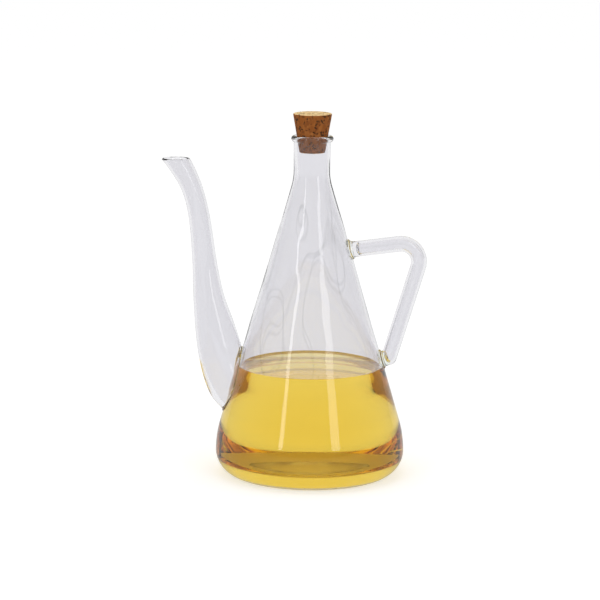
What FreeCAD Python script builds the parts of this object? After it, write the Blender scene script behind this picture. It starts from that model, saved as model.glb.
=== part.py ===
# Oil cruet: a cone-shaped glass bottle with a side spout and a tube handle, oil inside, a cork in the mouth.
# Frame: millimetres, +Z up, origin on the bottle's axis at the face it stands on, spout to -X, handle to +X.
import FreeCAD, Part
import math
import os
import Sketcher
from FreeCAD import Placement, Rotation, Vector

# Driving sizes: alias, value in mm or degrees, what it is.
SIZES = [
    ("base_diameter", 105.0, "widest outside diameter, low on the bottle"),
    ("belly_height", 13.3, "height of the widest circle"),
    ("corner_radius", 14.0, "outside corner below the widest circle"),
    ("shoulder_radius", 58.0, "outside curve from the widest circle to the cone"),
    ("foot_edge_radius", 1.2, "small rounding where the corner meets the standing face"),
    ("neck_diameter", 20.4, "outside diameter of the neck"),
    ("neck_blend_radius", 30.0, "outside hollow curve from cone to neck"),
    ("glass_height", 189.9, "top of the rolled lip"),
    ("neck_height", 23.64, "neck and lip, above the level where the cone's line meets the neck's side"),
    ("wall", 1.6, "wall of the blown body and neck"),
    ("base_thickness", 3.8, "glass under the oil"),
    ("floor_edge_radius", 4.0, "inside rounding round the floor"),
    ("lip_overhang", 1.45, "how far the rolled lip stands out from the neck"),
    ("lip_trim", 0.35, "how much of the round lip the bore cuts away"),
    ("oil_level", 60.2, "height of the oil's surface"),
    ("oil_gap", 0.2, "clearance between oil and glass"),
    ("cork_lean", 9.8, "lean of the cork's side from upright"),
    ("cork_depth", 8.6, "cork below the mouth's edge"),
    ("cork_proud", 12.9, "cork above the mouth's edge"),
    ("cork_gap", 0.05, "clearance between cork and mouth edge, radial"),
    ("cork_edge_radius", 0.6, "rounding of the cork's two rims"),
    ("spout_wall", 1.25, "wall of the spout"),
    ("spout_toe_wall", 3.0, "solid glass round the spout's lower end"),
    ("spout_trim", 9.0, "spout beyond the mouth, cut away by the level cut"),
    ("spout_flare", 1.2, "growth in diameter over that length"),
    ("spout_hole_diameter", 6.0, "passage from the bottle into the spout"),
    ("spout_hole_rise", 1.5, "height of the passage above the spout's seat on the cone"),
    ("spout_hole_margin", 3.0, "how far the drill runs on into each hollow"),
    ("handle_tube_diameter", 8.7, "outside diameter of the handle's tube"),
    ("handle_tube_wall", 1.4, "wall of the handle's tube"),
    ("handle_corner_reach", 24.2, "where the two limbs' lines cross, beyond the cone at the handle's foot"),
    ("handle_corner_height", 131.9, "where the two limbs' lines cross, above the base"),
    ("handle_top_rise", 7.4, "rise of the top limb from level"),
    ("handle_lower_lean", 16.8, "lean of the lower limb from upright"),
    ("handle_bend_radius", 10.0, "bend between the limbs, at the tube's middle"),
    ("handle_foot_height", 65.9, "height of the lower limb's rounded end, at the middle of its curve"),
    ("handle_hollow_end", 1.3, "how far below that the tube's hollow ends"),
    ("handle_weld_flare", 1.1, "growth in diameter where each limb is melted on to the bottle"),
    ("handle_weld_length", 2.8, "solid glass between the bottle and the tube's hollow"),
]

# The spout's axis, from its mouth down to its toe, which lies inside the bottle's outline: name, reach beyond the cone's side at the seat's
# height, height above the base, lean from upright, outside diameter.
SPOUT_STATIONS = [
    ("mouth", 35.5, 176.7, 34.0, 13.0),
    ("bend", 26.2, 159.0, 19.0, 11.4),
    ("throat", 22.1, 141.2, 8.0, 11.8),
    ("rise", 19.4, 117.5, 6.5, 13.7),
    ("flank", 16.9, 97.3, 10.0, 17.6),
    ("hip", 13.4, 80.5, 12.0, 22.4),
    ("seat", 10.1, 66.0, 13.5, 24.8),
    ("foot", 3.9, 48.4, 24.0, 25.6),
    ("toe", -1.5, 38.0, 35.0, 18.0),
]

# The cone's side touches the shoulder's arc and meets the neck's side at the neck's foot.
CONE_RISE = "(glass_height - neck_height - belly_height)"
CONE_REACH = "(base_diameter / 2 - shoulder_radius - neck_diameter / 2)"
CONE_LEAN = "=(asin(shoulder_radius / sqrt(%s ^ 2 + %s ^ 2)) + atan(%s / %s)) / 1 deg" % (
    CONE_RISE,
    CONE_REACH,
    CONE_REACH,
    CONE_RISE,
)

doc = FreeCAD.newDocument("OilCruet")


def makeSheet():
    sheet = doc.addObject("Spreadsheet::Sheet", "Sizes")
    rows = list(SIZES)
    rows.append(("cone_lean", CONE_LEAN, "lean of the cone's side from upright, in degrees"))
    for name, reach, height, lean, diameter in SPOUT_STATIONS:
        rows.append(("spout_%s_reach" % name, reach, "spout axis at its %s, beyond the cone at the seat" % name))
        rows.append(("spout_%s_height" % name, height, "spout axis at its %s, above the base" % name))
        rows.append(("spout_%s_lean" % name, lean, "lean of the spout at its %s" % name))
        rows.append(("spout_%s_diameter" % name, diameter, "outside diameter of the spout at its %s" % name))
    for number, (alias, value, note) in enumerate(rows, start=1):
        sheet.set("A%d" % number, note)
        sheet.set("B%d" % number, str(value))
        sheet.setAlias("B%d" % number, alias)
    doc.recompute()
    return sheet


sizes = makeSheet()


def evaluate(expression):
    """The number that an expression over the sheet comes to."""
    result = sizes.evalExpression(expression)
    return float(getattr(result, "Value", result))


def cell(alias):
    return "Sizes.%s" % alias


# --- Expressions that several pieces share ---------------------------------------------------------

BODY_RADIUS = "Sizes.base_diameter / 2"
BORE_RADIUS = "(Sizes.neck_diameter / 2 - Sizes.wall)"
LIP_BEAD_RADIUS = "((Sizes.wall + Sizes.lip_overhang + Sizes.lip_trim) / 2)"
LIP_RING_RADIUS = "(Sizes.neck_diameter / 2 + Sizes.lip_overhang - %s)" % LIP_BEAD_RADIUS
LIP_RING_HEIGHT = "(Sizes.glass_height - %s)" % LIP_BEAD_RADIUS
# The bore cuts the round bead a little above its middle. That edge is the cork's seat.
MOUTH_EDGE_HEIGHT = "(%s + sqrt(%s ^ 2 - (%s - %s) ^ 2))" % (
    LIP_RING_HEIGHT,
    LIP_BEAD_RADIUS,
    LIP_RING_RADIUS,
    BORE_RADIUS,
)


def coneRadius(height):
    """Outside radius of the cone at a height, as an expression."""
    return (
        "(%s - Sizes.shoulder_radius + Sizes.shoulder_radius / cos(Sizes.cone_lean)"
        " - (%s - Sizes.belly_height) * tan(Sizes.cone_lean))" % (BODY_RADIUS, height)
    )


# The handle's corner, the end of its lower limb, and where its top limb's line comes out of the cone.
HANDLE_CORNER_X = "(%s + Sizes.handle_corner_reach)" % coneRadius("Sizes.handle_foot_height")
HANDLE_FOOT_X = (
    "(%s - (Sizes.handle_corner_height - Sizes.handle_foot_height) * tan(Sizes.handle_lower_lean))"
    % HANDLE_CORNER_X
)
HANDLE_TOP_X = (
    "((%s - (Sizes.handle_corner_height - %s * tan(Sizes.handle_top_rise)) * tan(Sizes.cone_lean))"
    " / (1 + tan(Sizes.handle_top_rise) * tan(Sizes.cone_lean)))" % (coneRadius("0"), HANDLE_CORNER_X)
)
HANDLE_FOOT_GAP = "((%s - %s) * cos(Sizes.cone_lean))" % (
    HANDLE_FOOT_X,
    coneRadius("Sizes.handle_foot_height"),
)


def spoutX(station):
    """Where the spout's axis lies at a station, on the side of the spout."""
    return "(-%s - Sizes.spout_%s_reach)" % (coneRadius("Sizes.spout_seat_height"), station)


# --- Helpers for sketches and features -------------------------------------------------------------


def newBody(label):
    body = doc.addObject("PartDesign::Body", label)
    body.Label = label
    return body


def originPlane(body, role):
    return next(item for item in body.Origin.OriginFeatures if item.Role == role)


def attach(feature, body, role):
    feature.AttachmentSupport = [(originPlane(body, role), "")]
    feature.MapMode = "FlatFace"


def newSketch(body, name, role="XZ_Plane"):
    sketch = body.newObject("Sketcher::SketchObject", name)
    attach(sketch, body, role)
    return sketch


def place(feature, reach, height, turn):
    """Binds a feature on the XY plane to a point of the XZ plane, turned about Y by an angle."""
    feature.AttachmentOffset = Placement(
        Vector(evaluate(reach), 0, evaluate(height)),
        Rotation(Vector(0, 1, 0), evaluate(turn)),
    )
    feature.setExpression("AttachmentOffset.Base.x", reach)
    feature.setExpression("AttachmentOffset.Base.z", height)
    feature.setExpression("AttachmentOffset.Rotation.Angle", turn)


def bind(sketch, kind, geometry, name, expression):
    """Adds one dimension to a sketch and binds it to the sheet."""
    value = evaluate(expression)
    if kind == "Angle":
        value = math.radians(value)
    index = sketch.addConstraint(Sketcher.Constraint(kind, *geometry, value))
    sketch.renameConstraint(index, name)
    sketch.setExpression("Constraints.%s" % name, expression)


def relate(sketch, kind, *geometry):
    sketch.addConstraint(Sketcher.Constraint(kind, *geometry))


def revolve(body, sketch, name, kind="PartDesign::Revolution"):
    feature = body.newObject(kind, name)
    feature.Profile = sketch
    feature.ReferenceAxis = (sketch, ["V_Axis"])
    feature.Angle = 360
    return feature


def arc(centre, radius, start, end):
    """An arc in a sketch, counterclockwise between two angles in degrees."""
    circle = Part.Circle(Vector(*centre, 0), Vector(0, 0, 1), radius)
    return Part.ArcOfCircle(circle, math.radians(start), math.radians(end))


def line(start, end):
    return Part.LineSegment(Vector(*start, 0), Vector(*end, 0))


def circleSection(body, name, diameter, reach, height, turn):
    """A round section, square to an axis that leans by the turn."""
    sketch = newSketch(body, name, "XY_Plane")
    place(sketch, reach, height, turn)
    sketch.addGeometry(Part.Circle(Vector(0, 0, 0), Vector(0, 0, 1), evaluate(diameter) / 2))
    relate(sketch, "Coincident", 0, 3, -1, 1)
    bind(sketch, "Diameter", (0,), "across", diameter)
    return sketch


# --- The bottle's wall line, used for its outside, its hollow and the oil --------------------------


def wallProfile(sketch, inset, floor, edgeRadius, top, withNeck):
    """Half section from the axis out along the floor, round the corner and shoulder and up the cone,
    all set in from the outside by the inset. Ends on a level line at the top."""
    cornerRadius = "Sizes.corner_radius - %s" % inset
    shoulderRadius = "Sizes.shoulder_radius - %s" % inset
    bellyRadius = "%s - %s" % (BODY_RADIUS, inset)
    neckRadius = "Sizes.neck_diameter / 2 - %s" % inset
    blendRadius = "Sizes.neck_blend_radius + %s" % inset

    low = evaluate(floor)
    high = evaluate(top)
    lean = evaluate(cell("cone_lean"))
    belly = evaluate(bellyRadius)
    bellyHeight = evaluate(cell("belly_height"))
    corner = evaluate(cornerRadius)
    shoulder = evaluate(shoulderRadius)
    edge = evaluate(edgeRadius)
    cosine = math.cos(math.radians(lean))
    sine = math.sin(math.radians(lean))

    cornerCentre = (belly - corner, bellyHeight)
    edgeDrop = bellyHeight - low - edge
    edgeCentre = (cornerCentre[0] + math.sqrt((corner - edge) ** 2 - edgeDrop**2), low + edge)
    edgeAngle = 270 + math.degrees(math.atan2(edgeCentre[0] - cornerCentre[0], edgeDrop))
    shoulderCentre = (belly - shoulder, bellyHeight)
    coneFoot = (shoulderCentre[0] + shoulder * cosine, bellyHeight + shoulder * sine)

    sketch.addGeometry(line((0, high), (0, low)))
    sketch.addGeometry(line((0, low), (edgeCentre[0], low)))
    sketch.addGeometry(arc(edgeCentre, edge, 270, edgeAngle))
    sketch.addGeometry(arc(cornerCentre, corner, edgeAngle, 360))
    sketch.addGeometry(arc(shoulderCentre, shoulder, 0, lean))
    if withNeck:
        neck = evaluate(neckRadius)
        blend = evaluate(blendRadius)
        # The blend's middle lies outside the bottle, a radius away from both cone and neck.
        blendFoot = neck + blend * (1 - cosine)
        blendFootHeight = coneFoot[1] + (coneFoot[0] - blendFoot) * cosine / sine
        blendTopHeight = blendFootHeight + blend * sine
        sketch.addGeometry(line(coneFoot, (blendFoot, blendFootHeight)))
        sketch.addGeometry(arc((neck + blend, blendTopHeight), blend, 180, 180 + lean))
        sketch.addGeometry(line((neck, blendTopHeight), (neck, high)))
        sketch.addGeometry(line((neck, high), (0, high)))
        last = 8
    else:
        coneTop = (coneFoot[0] - (high - coneFoot[1]) * sine / cosine, high)
        sketch.addGeometry(line(coneFoot, coneTop))
        sketch.addGeometry(line(coneTop, (0, high)))
        last = 6

    relate(sketch, "PointOnObject", 0, 1, -2)
    relate(sketch, "Vertical", 0)
    relate(sketch, "Coincident", 0, 2, 1, 1)
    relate(sketch, "Horizontal", 1)
    relate(sketch, "Tangent", 1, 2, 2, 1)
    relate(sketch, "Tangent", 2, 2, 3, 1)
    relate(sketch, "Coincident", 3, 2, 4, 1)
    relate(sketch, "Horizontal", 3, 3, 3, 2)
    relate(sketch, "Horizontal", 4, 3, 4, 1)
    relate(sketch, "Tangent", 4, 2, 5, 1)
    if withNeck:
        relate(sketch, "Tangent", 5, 2, 6, 2)
        relate(sketch, "Tangent", 6, 1, 7, 1)
        relate(sketch, "Vertical", 7)
    relate(sketch, "Coincident", last - 1, 2, last, 1)
    relate(sketch, "Horizontal", last)
    relate(sketch, "Coincident", last, 2, 0, 1)

    if low == 0:
        relate(sketch, "PointOnObject", 1, 1, -1)
    else:
        bind(sketch, "DistanceY", (-1, 1, 1, 1), "floor_height", floor)
    bind(sketch, "DistanceX", (-1, 1, 3, 2), "belly_radius", bellyRadius)
    bind(sketch, "DistanceY", (-1, 1, 3, 2), "belly_height", cell("belly_height"))
    bind(sketch, "Radius", (2,), "edge_radius", edgeRadius)
    bind(sketch, "Radius", (3,), "corner_radius", cornerRadius)
    bind(sketch, "Radius", (4,), "shoulder_radius", shoulderRadius)
    bind(sketch, "Angle", (5,), "cone_angle", "90 + Sizes.cone_lean")
    if withNeck:
        bind(sketch, "Radius", (6,), "blend_radius", blendRadius)
        bind(sketch, "DistanceX", (-1, 1, 7, 1), "neck_radius", neckRadius)
    bind(sketch, "DistanceY", (-1, 1, 0, 1), "top_height", top)


# --- Glass ------------------------------------------------------------------------------------------


def spoutSections(body, suffix, across):
    """The spout's round sections from beyond its mouth to its foot. across gives each one's diameter."""
    trimX = spoutX("mouth") + " - Sizes.spout_trim * sin(Sizes.spout_mouth_lean)"
    trimHeight = "Sizes.spout_mouth_height + Sizes.spout_trim * cos(Sizes.spout_mouth_lean)"
    sections = [
        circleSection(
            body,
            "SpoutTrim" + suffix,
            across("mouth") + " + Sizes.spout_flare",
            trimX,
            trimHeight,
            "-Sizes.spout_mouth_lean",
        )
    ]
    for name, *_ in SPOUT_STATIONS:
        sections.append(
            circleSection(
                body,
                "Spout" + name.capitalize() + suffix,
                across(name),
                spoutX(name),
                cell("spout_%s_height" % name),
                "-Sizes.spout_%s_lean" % name,
            )
        )
    return sections


def loft(body, sections, name, kind):
    feature = body.newObject(kind, name)
    feature.Profile = sections[0]
    feature.Sections = sections[1:]
    feature.Ruled = False
    feature.Closed = False
    return feature


def ball(body, name, kind, radius, reach, height, turn):
    """A sphere that ends a tube, its axis turned to the tube's."""
    feature = body.newObject(kind, name)
    attach(feature, body, "XY_Plane")
    place(feature, reach, height, turn)
    feature.Radius = evaluate(radius)
    feature.setExpression("Radius", radius)
    return feature


def addSpout(body):
    def outside(name):
        return cell("spout_%s_diameter" % name)

    def inside(name):
        wall = "spout_toe_wall" if name in ("foot", "toe") else "spout_wall"
        return "Sizes.spout_%s_diameter - 2 * Sizes.%s" % (name, wall)

    loft(body, spoutSections(body, "Outside", outside), "SpoutOutside", "PartDesign::AdditiveLoft")
    loft(body, spoutSections(body, "Inside", inside), "SpoutInside", "PartDesign::SubtractiveLoft")


def cutSpoutMouth(body):
    """The level cut that ends the spout: a box above the rim, beside the bottle."""
    cut = body.newObject("PartDesign::SubtractiveBox", "SpoutMouthCut")
    attach(cut, body, "XY_Plane")
    length = "(4 * Sizes.spout_mouth_diameter)"
    cut.Length = evaluate(length)
    cut.Width = evaluate(length)
    cut.Height = evaluate(length)
    for side in ("Length", "Width", "Height"):
        cut.setExpression(side, length)
    cut.AttachmentOffset = Placement(Vector(0, 0, 0), Rotation())
    cut.setExpression("AttachmentOffset.Base.x", "%s - %s / 2" % (spoutX("mouth"), length))
    cut.setExpression("AttachmentOffset.Base.y", "-%s / 2" % length)
    cut.setExpression("AttachmentOffset.Base.z", cell("spout_mouth_height"))


def addBlownBody(body):
    sketch = newSketch(body, "BottleOutline")
    wallProfile(sketch, "0", "0", cell("foot_edge_radius"), LIP_RING_HEIGHT, withNeck=True)
    revolve(body, sketch, "Bottle")
    lip = newSketch(body, "LipSection")
    lip.addGeometry(
        Part.Circle(
            Vector(evaluate(LIP_RING_RADIUS), evaluate(LIP_RING_HEIGHT), 0),
            Vector(0, 0, 1),
            evaluate(LIP_BEAD_RADIUS),
        )
    )
    bind(lip, "Radius", (0,), "bead_radius", LIP_BEAD_RADIUS)
    bind(lip, "DistanceX", (-1, 1, 0, 3), "ring_radius", LIP_RING_RADIUS)
    bind(lip, "DistanceY", (-1, 1, 0, 3), "ring_height", LIP_RING_HEIGHT)
    revolve(body, lip, "Lip")


def handlePath(body, name, startX, endHeight):
    """Centreline of the handle: top limb outwards, the bend, and the lower limb down to its end."""
    sketch = newSketch(body, name)
    rise = math.radians(evaluate(cell("handle_top_rise")))
    lean = math.radians(evaluate(cell("handle_lower_lean")))
    radius = evaluate(cell("handle_bend_radius"))
    corner = Vector(evaluate(HANDLE_CORNER_X), evaluate(cell("handle_corner_height")), 0)
    outwards = Vector(math.cos(rise), math.sin(rise), 0)
    downwards = Vector(-math.sin(lean), -math.cos(lean), 0)
    turn = math.pi / 2 + rise + lean
    tangent = radius * math.tan(turn / 2)
    bendStart = corner - outwards * tangent
    bendEnd = corner + downwards * tangent
    centre = bendStart + Vector(math.sin(rise), -math.cos(rise), 0) * radius
    start = corner - outwards * ((corner.x - evaluate(startX)) / outwards.x)
    drop = corner.y - evaluate(endHeight)
    end = corner + downwards * (drop / math.cos(lean))

    sketch.addGeometry(Part.LineSegment(start, bendStart))
    bend = Part.Circle(centre, Vector(0, 0, 1), radius)
    sketch.addGeometry(Part.ArcOfCircle(bend, -lean, math.pi / 2 + rise))
    sketch.addGeometry(Part.LineSegment(bendEnd, end))
    cornerPoint = sketch.addGeometry(Part.Point(corner), True)

    relate(sketch, "Tangent", 0, 2, 1, 2)
    relate(sketch, "Tangent", 1, 1, 2, 1)
    relate(sketch, "PointOnObject", cornerPoint, 1, 0)
    relate(sketch, "PointOnObject", cornerPoint, 1, 2)
    bind(sketch, "DistanceX", (-1, 1, cornerPoint, 1), "corner_reach", HANDLE_CORNER_X)
    bind(sketch, "DistanceY", (-1, 1, cornerPoint, 1), "corner_height", cell("handle_corner_height"))
    bind(sketch, "Angle", (0,), "top_rise", cell("handle_top_rise"))
    bind(sketch, "Angle", (2,), "lower_lean", "-90 - Sizes.handle_lower_lean")
    bind(sketch, "Radius", (1,), "bend_radius", cell("handle_bend_radius"))
    bind(sketch, "DistanceX", (-1, 1, 0, 1), "start_reach", startX)
    bind(sketch, "DistanceY", (-1, 1, 2, 2), "end_height", endHeight)
    return sketch


def topLimbHeight(x):
    """Height of the top limb's line at a distance from the bottle's axis, as an expression."""
    return "(Sizes.handle_corner_height - (%s - %s) * tan(Sizes.handle_top_rise))" % (HANDLE_CORNER_X, x)


def handleTube(body, name, kind, diameter, startX, endHeight):
    section = circleSection(
        body,
        name + "Section",
        diameter,
        startX,
        topLimbHeight(startX),
        "90 - Sizes.handle_top_rise",
    )
    path = handlePath(body, name + "Path", startX, endHeight)
    tube = body.newObject(kind, name)
    tube.Profile = section
    tube.Spine = (path, ["Edge1", "Edge2", "Edge3"])
    return tube


def weldCone(body, name, reach, height, turn, length):
    """Flared glass from the tube to the bottle, running into the bottle's wall."""
    weld = body.newObject("PartDesign::AdditiveCone", name)
    attach(weld, body, "XY_Plane")
    place(weld, reach, height, turn)
    tubeRadius = "Sizes.handle_tube_diameter / 2"
    flaredRadius = "(Sizes.handle_tube_diameter + Sizes.handle_weld_flare) / 2"
    weld.Radius1 = evaluate(tubeRadius)
    weld.Radius2 = evaluate(flaredRadius)
    weld.Height = evaluate(length)
    weld.setExpression("Radius1", tubeRadius)
    weld.setExpression("Radius2", flaredRadius)
    weld.setExpression("Height", length)


def addHandle(body):
    footHeight = cell("handle_foot_height")
    handleTube(body, "HandleTube", "PartDesign::AdditivePipe", cell("handle_tube_diameter"), "0", footHeight)
    ball(
        body,
        "HandleFoot",
        "PartDesign::AdditiveSphere",
        "Sizes.handle_tube_diameter / 2",
        HANDLE_FOOT_X,
        footHeight,
        cell("handle_lower_lean"),
    )
    weldStart = "(%s + Sizes.handle_weld_length)" % HANDLE_TOP_X
    weldCone(
        body,
        "HandleTopWeld",
        weldStart,
        topLimbHeight(weldStart),
        "-90 - Sizes.handle_top_rise",
        "Sizes.handle_weld_length + Sizes.wall",
    )
    weldCone(
        body,
        "HandleFootWeld",
        HANDLE_FOOT_X,
        footHeight,
        "-90 - Sizes.cone_lean",
        HANDLE_FOOT_GAP + " + Sizes.wall / 2",
    )


def clearInside(body):
    """Cuts away the ends of spout and handle that reach past the middle of the bottle's wall."""
    sketch = newSketch(body, "ClearOutline")
    inset = "Sizes.wall / 2"
    floor = "Sizes.base_thickness / 2"
    wallProfile(sketch, inset, floor, cell("foot_edge_radius"), LIP_RING_HEIGHT, withNeck=True)
    revolve(body, sketch, "ClearInside", "PartDesign::Groove")


def hollowBottle(body):
    sketch = newSketch(body, "HollowOutline")
    top = "Sizes.glass_height + %s" % LIP_BEAD_RADIUS
    wallProfile(sketch, cell("wall"), cell("base_thickness"), cell("floor_edge_radius"), top, withNeck=True)
    revolve(body, sketch, "Hollow", "PartDesign::Groove")


def hollowHandle(body):
    bore = "Sizes.handle_tube_diameter - 2 * Sizes.handle_tube_wall"
    start = "(%s + Sizes.handle_weld_length)" % HANDLE_TOP_X
    end = "Sizes.handle_foot_height - Sizes.handle_hollow_end"
    handleTube(body, "HandleBore", "PartDesign::SubtractivePipe", bore, start, end)


def drillSpoutPassage(body):
    """The hole through the bottle's wall into the spout, square to the cone."""
    drill = body.newObject("PartDesign::SubtractiveCylinder", "SpoutPassage")
    attach(drill, body, "XY_Plane")
    height = "(Sizes.spout_seat_height + Sizes.spout_hole_rise)"
    inwards = "(Sizes.wall + Sizes.spout_hole_margin)"
    length = "%s + Sizes.spout_wall + Sizes.spout_hole_margin" % inwards
    place(
        drill,
        "-%s + %s * cos(Sizes.cone_lean)" % (coneRadius(height), inwards),
        "%s - %s * sin(Sizes.cone_lean)" % (height, inwards),
        "-90 + Sizes.cone_lean",
    )
    drill.Radius = evaluate("Sizes.spout_hole_diameter / 2")
    drill.Height = evaluate(length)
    drill.setExpression("Radius", "Sizes.spout_hole_diameter / 2")
    drill.setExpression("Height", length)


def makeGlass():
    """Spout and handle come first, so that the blown body's glass closes them where they are welded."""
    body = newBody("glass_bottle")
    addSpout(body)
    cutSpoutMouth(body)
    addHandle(body)
    clearInside(body)
    addBlownBody(body)
    hollowBottle(body)
    hollowHandle(body)
    drillSpoutPassage(body)
    return body


# --- Oil and cork -----------------------------------------------------------------------------------


def makeOil():
    body = newBody("oil")
    sketch = newSketch(body, "OilOutline")
    wallProfile(
        sketch,
        "(Sizes.wall + Sizes.oil_gap)",
        "Sizes.base_thickness + Sizes.oil_gap",
        "Sizes.floor_edge_radius - Sizes.oil_gap",
        cell("oil_level"),
        withNeck=False,
    )
    revolve(body, sketch, "Oil")
    return body


def rimEdges(shape):
    """Names of the round edges where a level face meets a side."""
    names = []
    for number, edge in enumerate(shape.Edges, start=1):
        if isinstance(edge.Curve, Part.Circle):
            names.append("Edge%d" % number)
    return names


def makeCork():
    body = newBody("cork_stopper")
    seatRadius = "(%s - Sizes.cork_gap)" % BORE_RADIUS
    lowRadius = "%s - Sizes.cork_depth * tan(Sizes.cork_lean)" % seatRadius
    highRadius = "%s + Sizes.cork_proud * tan(Sizes.cork_lean)" % seatRadius
    low = "%s - Sizes.cork_depth" % MOUTH_EDGE_HEIGHT
    high = "%s + Sizes.cork_proud" % MOUTH_EDGE_HEIGHT
    sketch = newSketch(body, "CorkOutline")
    corners = [
        (0, evaluate(low)),
        (evaluate(lowRadius), evaluate(low)),
        (evaluate(highRadius), evaluate(high)),
        (0, evaluate(high)),
    ]
    for index in range(4):
        sketch.addGeometry(line(corners[index], corners[(index + 1) % 4]))
    for index in range(4):
        relate(sketch, "Coincident", index, 2, (index + 1) % 4, 1)
    relate(sketch, "Horizontal", 0)
    relate(sketch, "Horizontal", 2)
    relate(sketch, "Vertical", 3)
    relate(sketch, "PointOnObject", 0, 1, -2)
    bind(sketch, "DistanceY", (-1, 1, 0, 1), "low_height", low)
    bind(sketch, "DistanceX", (-1, 1, 0, 2), "low_radius", lowRadius)
    bind(sketch, "DistanceY", (-1, 1, 2, 1), "high_height", high)
    bind(sketch, "DistanceX", (-1, 1, 2, 1), "high_radius", highRadius)
    plain = revolve(body, sketch, "Cork")
    doc.recompute()
    rims = body.newObject("PartDesign::Fillet", "CorkRims")
    rims.Base = (plain, rimEdges(plain.Shape))
    rims.Radius = evaluate(cell("cork_edge_radius"))
    rims.setExpression("Radius", cell("cork_edge_radius"))
    return body


# --- Build, check and write -------------------------------------------------------------------------


def checkDocument(pieces):
    doc.recompute()
    for item in doc.Objects:
        if "Invalid" in item.State or "Error" in item.State:
            raise RuntimeError("%s did not build: %s" % (item.Name, item.State))
        if item.TypeId == "Sketcher::SketchObject" and item.solve() != 0:
            raise RuntimeError("%s does not solve" % item.Name)
    for piece in pieces:
        shape = piece.Shape
        if shape.isNull() or not shape.isValid() or len(shape.Solids) != 1:
            raise RuntimeError("%s is not one valid solid" % piece.Label)


pieces = [makeGlass(), makeOil(), makeCork()]
checkDocument(pieces)
os.makedirs("parts", exist_ok=True)
for piece in pieces:
    piece.Shape.exportStep("parts/%s.step" % piece.Label)
    print("%-14s %10.1f mm3" % (piece.Label, piece.Shape.Volume), piece.Shape.BoundBox)
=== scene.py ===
import math

import bmesh
import bpy
import numpy as np
from mathutils import Matrix, Vector


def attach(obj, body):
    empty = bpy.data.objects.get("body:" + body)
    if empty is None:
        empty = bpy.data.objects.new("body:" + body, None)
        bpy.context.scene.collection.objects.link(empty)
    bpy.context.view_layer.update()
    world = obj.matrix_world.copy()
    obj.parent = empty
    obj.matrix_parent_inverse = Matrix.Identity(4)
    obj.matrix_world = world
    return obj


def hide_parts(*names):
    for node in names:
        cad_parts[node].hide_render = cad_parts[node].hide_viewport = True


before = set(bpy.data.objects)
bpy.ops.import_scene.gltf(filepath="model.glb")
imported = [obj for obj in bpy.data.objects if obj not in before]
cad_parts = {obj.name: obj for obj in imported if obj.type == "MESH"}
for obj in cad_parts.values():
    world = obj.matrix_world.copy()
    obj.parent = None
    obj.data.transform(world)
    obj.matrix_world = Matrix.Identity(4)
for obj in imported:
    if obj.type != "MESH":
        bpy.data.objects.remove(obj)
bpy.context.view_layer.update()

mm = 0.001  # sizes below are in millimetres, meshes in metres


# Small tools for meshes.

def degrees(angle):
    return math.radians(angle)


def newObject(name, mesh):
    made = bpy.data.objects.new(name, mesh)
    bpy.context.scene.collection.objects.link(made)
    return made


def closedMesh(name, points, faces):
    mesh = bpy.data.meshes.new(name)
    mesh.from_pydata([tuple(p) for p in points], [], faces)
    mesh.validate()
    return newObject(name, mesh)


def arcPoints(centre, radius, start, end, count):
    steps = np.radians(np.linspace(start, end, count))
    return [(centre[0] + radius * math.cos(a), centre[1] + radius * math.sin(a)) for a in steps]


def linePoints(start, end, count):
    steps = np.linspace(0, 1, count)
    return [(start[0] + (end[0] - start[0]) * t, start[1] + (end[1] - start[1]) * t) for t in steps]


def tidyLine(points, least=0.02):
    kept = [points[0]]
    for point in points[1:]:
        if math.dist(point, kept[-1]) > least:
            kept.append(point)
    return kept


def spin(name, profile, segments, wave=None):
    # profile runs from the axis out, round and back to the axis, in millimetres
    turns = np.linspace(0, 2 * math.pi, segments, endpoint=False)
    inner = profile[1:-1]
    points = [(0, 0, profile[0][1] * mm)]
    for radius, height in inner:
        for turn in turns:
            r = radius + (wave(height, turn) * min(1.0, radius / 12) if wave else 0.0)
            points.append((r * math.cos(turn) * mm, r * math.sin(turn) * mm, height * mm))
    points.append((0, 0, profile[-1][1] * mm))
    last = len(points) - 1
    faces = []
    for k in range(segments):
        faces.append((0, 1 + (k + 1) % segments, 1 + k))
        faces.append((last, last - segments + k, last - segments + (k + 1) % segments))
    for row in range(len(inner) - 1):
        low = 1 + row * segments
        for k in range(segments):
            step = (k + 1) % segments
            faces.append((low + k, low + step, low + segments + step, low + segments + k))
    return closedMesh(name, points, faces)


def applyModifiers(piece):
    view = bpy.context.evaluated_depsgraph_get()
    mesh = bpy.data.meshes.new_from_object(piece.evaluated_get(view))
    piece.modifiers.clear()
    piece.data = mesh
    return piece


def combine(piece, others, operation):
    for other in others:
        modifier = piece.modifiers.new(operation.lower(), "BOOLEAN")
        modifier.operation = operation
        modifier.object = other
        modifier.solver = "MANIFOLD"
        modifier.material_mode = "TRANSFER"
    bpy.context.view_layer.update()
    applyModifiers(piece)
    for other in others:
        bpy.data.objects.remove(other)
    return piece


def smooth(piece, angle):
    piece.data.shade_smooth()
    piece.data.set_sharp_from_angle(angle=degrees(angle))


# A round tube along a path, made by geometry nodes.

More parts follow.
